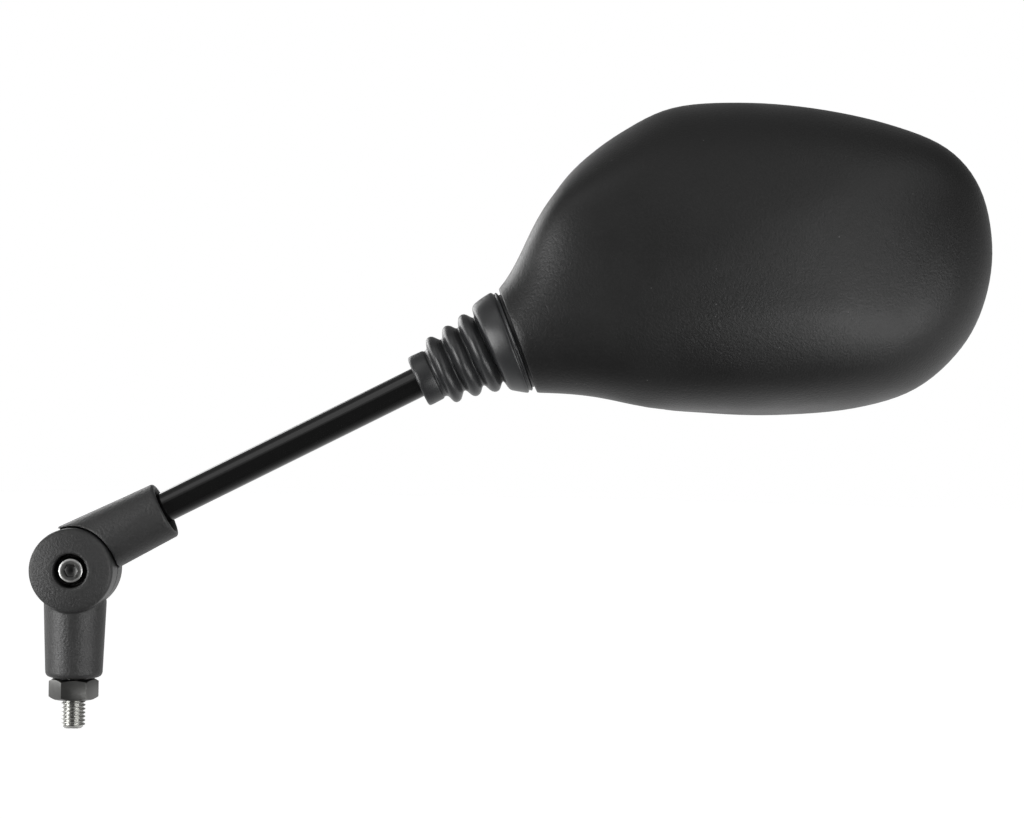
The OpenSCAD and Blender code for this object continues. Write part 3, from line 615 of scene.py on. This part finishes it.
folds = [(-0.7, 5.3), (-0.7, 7.7), (-0.55, 8.25), (-0.2, 8.6), (0.8, 8.7), (4.4, 8.6), (4.8, 8.5),
         (5.05, 8.3), (5.3, 8.15), (5.6, 8.15), (5.9, 8.25), (6.2, 8.45), (6.5, 8.85), (6.75, 9.5),
         (7.0, 10.3), (7.35, 11.0), (7.8, 11.45), (8.4, 11.65), (9.2, 11.6), (9.9, 11.25),
         (10.5, 10.6), (11.1, 9.9), (11.5, 9.45), (11.85, 9.25), (12.25, 9.35), (12.6, 9.75),
         (12.95, 10.45), (13.35, 11.3), (13.75, 11.95), (14.4, 12.45), (15.2, 12.6), (16.0, 12.4),
         (16.8, 11.85), (17.4, 11.1), (17.8, 10.65), (18.15, 10.4), (18.5, 10.4), (18.85, 10.8),
         (19.2, 11.6), (19.6, 12.5), (20.05, 13.2), (20.8, 13.75), (21.5, 13.9), (22.3, 13.75),
         (23, 13.2), (23.5, 12.6), (23.9, 12.1), (24.3, 11.7), (24.6, 11.55)]
folds_inside = [(24.6, 10.75), (22, 12.4), (20.4, 11.6), (18.3, 9.6), (15.5, 11.4), (11.9, 8.4),
                (9, 10.2), (5.8, 7.2), (4.6, 5.3)]
collar = [(24.5, 10.75), (24.5, 11.55), (24.75, 11.65), (24.95, 12.1), (25.1, 12.9), (25.25, 13.7),
          (25.45, 14.4), (25.8, 15.0), (26.3, 15.4), (27, 15.8), (28.5, 16.45), (30, 17.0),
          (31.2, 17.4), (31.8, 17.5), (32.15, 17.3), (32.4, 16.9), (32.6, 16.75), (32.8, 16.8),
          (33.0, 17.0), (33.25, 17.1), (33.5, 16.95), (33.7, 16.6), (33.85, 16.1), (37.6, 16.1),
          (37.6, 14.2), (30, 14.2), (27, 12.6)]
bellows_folds = grow("bellows_folds", [boot_ring(x, r) for x, r in folds + folds_inside], "joined")
bellows_collar = grow("bellows_collar", [boot_ring(x, r) for x, r in collar], "joined")
for piece in (bellows_folds, bellows_collar):
    soften(piece, 60)

# %% [markdown]
# The two pieces get their rubber, stand in for the frame's bellows solid, and have their
# placement baked into their vertices.

# %% Bellows across the ball joint
finish_piece(bellows_folds, boot_rubber, "boot_rubber", None, "bellows_boot")
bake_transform(bellows_folds)
finish_piece(bellows_collar, boot_rubber, "boot_rubber", None, "bellows_boot")
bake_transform(bellows_collar)

# %% [markdown]
# ## The knuckle
# Two nylon arms fold about a screw. Each is a turned arm joined to a turned disc, with room
# cut for the other's disc. The disc has a shallow crown and a rounded edge. The joined shape is
# remeshed with small voxels and smoothed a little, which rounds every edge as a mould does.

# %% Lower knuckle arm
DISC_R, RELIEF_R, ARM_DEPTH, VOXEL = 13.7, 14.2, 0.92, 0.32
EDGE_AT, EDGE_ROUND, CROWN_TILT = 9.36, 1.4, 12


def disc_profile():
    """A disc's half section from its mating face to its crowned outer face."""
    edge, tip = DISC_R - EDGE_ROUND, math.radians(CROWN_TILT)
    crown = (edge + EDGE_ROUND * math.sin(tip)) / math.sin(tip)
    middle = EDGE_AT + EDGE_ROUND * math.cos(tip) - crown * math.cos(tip)
    return ([(0, DISC_R)] + arc(EDGE_AT, edge, EDGE_ROUND, 90, CROWN_TILT, 6)
            + [(middle + crown * math.cos(math.radians(a)), crown * math.sin(math.radians(a)))
               for a in (10, 8, 6, 4, 2)])


def mould_rounding(piece):
    """Rounds a piece's edges as a mould does."""
    use_modifier(piece, "REMESH", mode="VOXEL", voxel_size=VOXEL * MM, use_smooth_shade=True)
    use_modifier(piece, "SMOOTH", factor=0.5, iterations=5)


foot = [(0, 7.0)] + sorted(arc(1.8, 7.55, 1.8, 90, 180, 6)) + [(35.45, 10.65)]
lower = turned("knuckle_lower", foot, Vector((0, 0, 7.2)), Z, REAR, 90)
for vertex in lower.data.vertices:
    vertex.co.y *= ARM_DEPTH
carve(lower, turned("disc", disc_profile(), PIVOT, -REAR, X), "UNION")
carve(lower, turned("relief", [(-0.02, RELIEF_R), (24, RELIEF_R)], PIVOT, REAR, X, 90))
counterbore = [(4.2, 2.56), (5.2, 2.56), (5.2, 5.55), (11.2, 5.55), (11.7, 5.9), (14, 6.3)]
carve(lower, turned("counterbore", counterbore, PIVOT, -REAR, X, 64))
carve(lower, turned("pivot_hole", [(-2, 2.56), (8, 2.56)], PIVOT, -REAR, X, 48))
carve(lower, turned("washer_seat", [(-0.5, 10.02), (0.5, 10.02)], PIVOT, -REAR, X, 96))
carve(lower, turned("stud_bore", [(0, 3.62), (9, 3.62)], Vector((0, 0, 6.9)), Z, X, 48))
mould_rounding(lower)
finish_piece(lower, knuckle_nylon, "knuckle_nylon", "base", "lower_knuckle")

# %% [markdown]
# The upper arm is a sleeve along the stem. Its open end shows a shallow hollow round the
# stem, with a rounded lip.

# %% Upper knuckle arm
SLEEVE_RISE, SLEEVE_LEN, MOUTH_R, LIP = 4.3, 35, 9.5, 1.7
sleeve_foot = PIVOT + 1 * STEM + SLEEVE_RISE * ACROSS
length = SLEEVE_LEN - 1
sleeve = [(0, 10.65)] + arc(length - LIP / 2, MOUTH_R - LIP / 2, LIP / 2, 90, 0, 6)
upper = turned("knuckle_upper", sleeve, sleeve_foot, STEM, REAR, 90)
carve(upper, turned("disc", disc_profile(), PIVOT, REAR, X), "UNION")
carve(upper, turned("relief", [(-0.02, RELIEF_R), (24, RELIEF_R)], PIVOT, -REAR, X, 90))
hollow = [(length - 9, 7.0), (length - 0.9, 7.4), (length - 0.3, 7.65), (length + 1, 8.4)]
carve(upper, turned("hollow", hollow, sleeve_foot, STEM, REAR, 96))
carve(upper, turned("stem_bore", [(15.98, 5.02), (40, 5.02)], PIVOT + ROD_RISE * ACROSS,
                    STEM, REAR, 64))
carve(upper, turned("pivot_hole", [(-2, 2.56), (14, 2.56)], PIVOT, REAR, X, 48))
carve(upper, turned("nut_pocket", [(3.6, 4.68), (14, 4.68)], PIVOT, REAR, X, 6))
carve(upper, turned("washer_seat", [(-0.5, 10.3), (0.5, 10.3)], PIVOT, REAR, X, 96))
mould_rounding(upper)
finish_piece(upper, knuckle_nylon, "knuckle_nylon", "arm", "upper_knuckle")

# %% [markdown]
# ## The pivot screw
# A black cap screw with a hexagon socket. The head is turned, the socket is cut with a
# six-sided tool, and a small bevel takes the sharpness off every edge.

# %% Pivot screw
head_foot = PIVOT + (-10.2 + 5) * REAR
head = [(-0.01, 2.5), (0, 4.0), (0.25, 4.25), (3.9, 4.25)] + arc(4.2, 3.45, 0.8, 90, 0, 5)
shank = [(-16, 2), (-15.5, 2.5)]
screw = turned("pivot_cap_screw", shank + head + [(5, 2.6)], head_foot, -REAR, X, 64)
carve(screw, turned("key", [(2.5, 2.31), (6, 2.31)], head_foot, -REAR, X, 6))
use_modifier(screw, "BEVEL", width=0.12 * MM, segments=2, limit_method="ANGLE",
             angle_limit=math.radians(40))
soften(screw, 35)
finish_piece(screw, screw_steel_painted_ring, "black_steel", "arm", "pivot_screw")

# %% [markdown]
# ## The stud and its nut
# An M8 thread has a pitch of 1.25 mm. Its section, one pitch long, is swept by the Screw
# modifier into a real helix. The ends are cut square with bisect, and the tip is turned down to
# a chamfer by moving the outer vertices in.

# %% Threaded stud
PITCH, CREST_R, ROOT_R = 1.25, 4.0, 3.25
NUT_TURN = math.radians(10)
TIP_Z, HEAD_Z = -9.4, 15.6
section = [(0, ROOT_R), (0.1, ROOT_R), (0.22, ROOT_R + 0.08), (0.5, CREST_R - 0.1),
           (0.58, CREST_R - 0.02), (0.67, CREST_R), (0.76, CREST_R - 0.02), (0.84, CREST_R - 0.1),
           (1.12, ROOT_R + 0.08), (PITCH, ROOT_R)]
bpy.ops.object.select_all(action="DESELECT")
bpy.ops.mesh.primitive_circle_add(vertices=len(section), radius=MM, location=(0, 0, 0))
stud = bpy.context.object
stud.name = stud.data.name = "threaded_stud"
bpy.ops.object.mode_set(mode="EDIT")
bpy.ops.mesh.select_mode(type="EDGE")
bpy.ops.mesh.select_all(action="DESELECT")
bm = bmesh.from_edit_mesh(stud.data)
bm.verts.ensure_lookup_table()
for vertex, (z, r) in zip(bm.verts, section):
    vertex.co = Vector((r, 0, TIP_Z - 2 + z)) * MM
for edge in bm.edges:
    edge.select_set({edge.verts[0].index, edge.verts[1].index} == {0, len(section) - 1})
bmesh.update_edit_mesh(stud.data)
bpy.ops.mesh.delete(type="EDGE")
bpy.ops.object.mode_set(mode="OBJECT")
use_modifier(stud, "SCREW", axis="Z", screw_offset=PITCH * MM, iterations=24, steps=48,
             render_steps=48, use_merge_vertices=True, merge_threshold=1e-6)


def square_end(piece, z, upper):
    """Cuts a piece square at height z and closes the cut."""
    bpy.ops.object.mode_set(mode="EDIT")
    bpy.ops.mesh.select_all(action="SELECT")
    bpy.ops.mesh.bisect(plane_co=(0, 0, z * MM), plane_no=(0, 0, 1), use_fill=True,
                        clear_outer=upper, clear_inner=not upper)
    bpy.ops.object.mode_set(mode="OBJECT")


square_end(stud, TIP_Z, False)
square_end(stud, HEAD_Z + 1, True)
for vertex in stud.data.vertices:
    z, r = vertex.co.z / MM, Vector(vertex.co.xy).length / MM
    limit = min(CREST_R, 2.9 + (z - TIP_Z)) if z < 0.2 else max(3.55, CREST_R - 3 * (z - 0.2))
    if r > limit:
        vertex.co.xy *= limit / r
bolt_head = turned("bolt_head", [(0, 7.2), (0.3, 7.45), (5, 7.45), (5.3, 7.2)],
                   Vector((0, 0, HEAD_Z)), Z, X, 6)
carve(stud, bolt_head, "UNION")
soften(stud, 50)
finish_piece(stud, zinc_steel, "zinc_steel", "base", "mounting_stud")

# %% [markdown]
# The lock nut is a hexagon, 14 mm across its flats, whose two ends are turned to a 30 degree
# chamfer. A longer hexagonal bar is intersected with the turned shape, the bore is cut with its
# countersinks, and a fine bevel catches the light on the corners. The bar is longer so that no
# two end faces lie in one plane, which the exact solver doesn't always resolve alike.

# %% Lock nut
CORNER_R, FACE_R, NUT_T = 7 / math.cos(math.radians(30)), 6.6, 6.8
FOOT = Vector((0, 0, 0))
nut = turned("hex_lock_nut", [(-1, CORNER_R), (NUT_T + 1, CORNER_R)], FOOT, Z,
             Vector((math.cos(NUT_TURN), math.sin(NUT_TURN), 0)), 6)
chamfer, past = (CORNER_R - FACE_R) * math.tan(math.radians(30)), CORNER_R + 0.02
turning = [(0, FACE_R), (chamfer, past), (NUT_T - chamfer, past), (NUT_T, FACE_R)]
carve(nut, turned("turning", turning, FOOT, Z, X, 96), "INTERSECT")
bore = [(-1, 4.2), (0.01, 4.2), (0.6, 3.6), (6.2, 3.6), (6.79, 4.2), (8, 4.2)]
carve(nut, turned("bore", bore, FOOT, Z, X, 64))
use_modifier(nut, "BEVEL", width=0.18 * MM, segments=2, limit_method="ANGLE",
             angle_limit=math.radians(28))
soften(nut, 25)
finish_piece(nut, dull_zinc, "zinc_steel", "base", "lock_nut")

# %% [markdown]
# ## Carried-over pieces
# Most inner pieces are right as solids, so they only get their finish.

# %% Finish the carried-over pieces
FINISHES = {
    "zinc_steel": zinc_steel, "black_steel": black_steel, "knuckle_nylon": knuckle_nylon,
    "rod_paint": rod_paint, "boot_rubber": boot_rubber, "shell_plastic": shell_plastic,
    "nylon_natural": nylon_natural, "inner_plastic": inner_plastic, "foam": foam_sheet,
    "mirror_glass": mirror_silver}
slots = {part["node"]: part["material_slot"] for part in frame["record"]["subparts"]}
for node, piece in frame["nodes"].items():
    piece.data.materials.clear()
    piece.data.materials.append(FINISHES[slots[node]])
print("finished", len(slots), "solids")

# %% [markdown]
# ## Studio
# The photograph is a cut-out on white. Its shading says how it was lit: a soft box low on the
# left, weaker ones low on the right, a little light from above and from behind on the left, and
# white paper that starts under the mirror and runs away behind it. In front of the paper the room
# is dark, which leaves the dark band along the shell's lower turn, and a dim canopy hangs over
# all of it, which is the pale band along the top of the stem. Light Path makes the paper white
# to the camera, so the lamps stay at a plain level.

# %% Floor and world
FLOOR_Z, FLOOR_R, FLOOR_FRONT, CANOPY = -0.5, 8, -0.3, 0.5
GLOW_FROM, GLOW_FULL = -0.25, 0.4


def ray_is(tree, *kinds):
    """1 for rays of any of these kinds."""
    path = add_node(tree, "ShaderNodeLightPath")
    answer = path.outputs[f"Is {kinds[0]} Ray"]
    for kind in kinds[1:]:
        answer = add_node(tree, "ShaderNodeMath", {"operation": "MAXIMUM"},
                          links={0: answer, 1: path.outputs[f"Is {kind} Ray"]}).outputs[0]
    return answer


def ramp(tree, value, low, high, start, end):
    """Runs softly from start, where value is low, to end, where it is high."""
    node = add_node(tree, "ShaderNodeMapRange", {"interpolation_type": "SMOOTHSTEP"},
                    {"From Min": low, "From Max": high, "To Min": start, "To Max": end},
                    {"Value": value})
    return node.outputs[0]


def blend_values(tree, factor, low, high):
    """low where factor is 0, high where it is 1."""
    node = add_node(tree, "ShaderNodeMix", links={0: factor})
    for socket, value in ((2, low), (3, high)):
        if isinstance(value, (int, float)):
            node.inputs[socket].default_value = value
        else:
            tree.links.new(value, node.inputs[socket])
    return node.outputs[0]


bpy.ops.object.select_all(action="DESELECT")
bpy.ops.mesh.primitive_circle_add(vertices=96, radius=FLOOR_R, fill_type="NGON",
                                  location=(0.14, FLOOR_FRONT + FLOOR_R, FLOOR_Z))
floor = bpy.context.object
floor.name = "floor"
floor_paint, tree, shader, place = new_material("white_paper_floor", Roughness=0.8)
# To glossy rays the paper is a painted reflection: it has a darker grey and glows, dim near the
# mirror and bright further back. To the camera it glows white.
paper_tone = two_tone(tree, ray_is(tree, "Glossy"), "#e6e6e6", "#5c5c5c")
tree.links.new(paper_tone, shader.inputs["Base Color"])
shader.inputs["Emission Color"].default_value = (1, 1, 1, 1)
along = add_node(tree, "ShaderNodeSeparateXYZ", links={0: place})
centre_y = FLOOR_FRONT + FLOOR_R
far = ramp(tree, along.outputs["Y"], GLOW_FROM - centre_y, GLOW_FULL - centre_y, 0.1, 0.85)
paper_glow = blend_values(tree, ray_is(tree, "Glossy"), 0.0, far)
paper_glow = blend_values(tree, ray_is(tree, "Camera", "Transmission"), paper_glow, 0.9)
tree.links.new(paper_glow, shader.inputs["Emission Strength"])
floor.data.materials.append(floor_paint)

world = bpy.data.worlds.new("studio")
bpy.context.scene.world = world
world.use_nodes = True
tree = world.node_tree
room = tree.nodes["Background"]
room.inputs["Color"].default_value = (1, 1, 1, 1)
direction = add_node(tree, "ShaderNodeTexCoord").outputs["Generated"]
split = add_node(tree, "ShaderNodeSeparateXYZ", links={0: direction})

paper = ramp(tree, split.outputs["Z"], 0.1, 0.4, 1.0, 0.55 * CANOPY)
aside = ramp(tree, split.outputs["X"], 0.1, 0.6, 1.0, 0.45)
paper = add_node(tree, "ShaderNodeMath", {"operation": "MULTIPLY"}, links={0: paper, 1: aside})
ahead = ramp(tree, split.outputs["Z"], 0.34, 0.44, 0.12, CANOPY)
behind = ramp(tree, split.outputs["Y"], -0.1, 0.1, 0.0, 1.0)
reflected = blend_values(tree, behind, ahead, paper.outputs[0])
strength = blend_values(tree, ray_is(tree, "Glossy"), 0.15, reflected)
strength = blend_values(tree, ray_is(tree, "Camera", "Transmission"), strength, 1.0)
tree.links.new(strength, room.inputs["Strength"])
bpy.context.scene.view_settings.view_transform = "Standard"
print("floor at", FLOOR_Z, "m")

# %% [markdown]
# Each lamp is placed by the direction it comes from, seen from the mirror: an angle round from
# the camera and an angle above the horizon. All of them stand 1.2 m away.

# %% Lamps
SUBJECT, LAMP_AWAY = Vector((0.16, 0, 0.1)), 1.2


def soft_box(name, around, above, width, height, power):
    """A rectangular soft box that faces the mirror."""
    data = bpy.data.lights.new(name, "AREA")
    data.shape, data.size, data.size_y, data.energy = "RECTANGLE", width, height, power
    lamp = bpy.data.objects.new(name, data)
    bpy.context.collection.objects.link(lamp)
    a, e = math.radians(around), math.radians(above)
    away = Vector((math.sin(a) * math.cos(e), -math.cos(a) * math.cos(e), math.sin(e)))
    lamp.location = SUBJECT + LAMP_AWAY * away
    lamp.rotation_euler = (-away).to_track_quat("-Z", "Y").to_euler()


soft_box("low_left_box", -60, -5, 0.6, 0.85, 11.9)
soft_box("left_fill_box", -42, 0, 0.5, 0.5, 1.3)
soft_box("low_right_box", 32, -12, 0.55, 0.4, 3.5)
soft_box("lower_right_box", 55, -27, 0.7, 0.4, 3)
soft_box("right_fill_box", 65, -10, 0.5, 0.4, 2.2)
soft_box("front_fill_box", 32, 19, 0.6, 0.45, 1.7)
soft_box("upper_left_box", -45, 48, 0.7, 0.7, 1)
soft_box("upper_right_box", 55, 45, 0.7, 0.7, 1)
soft_box("rear_left_box", -140, 17, 0.7, 0.6, 4)
soft_box("far_left_box", -108, 10, 0.6, 0.6, 2.5)
print("studio lit")
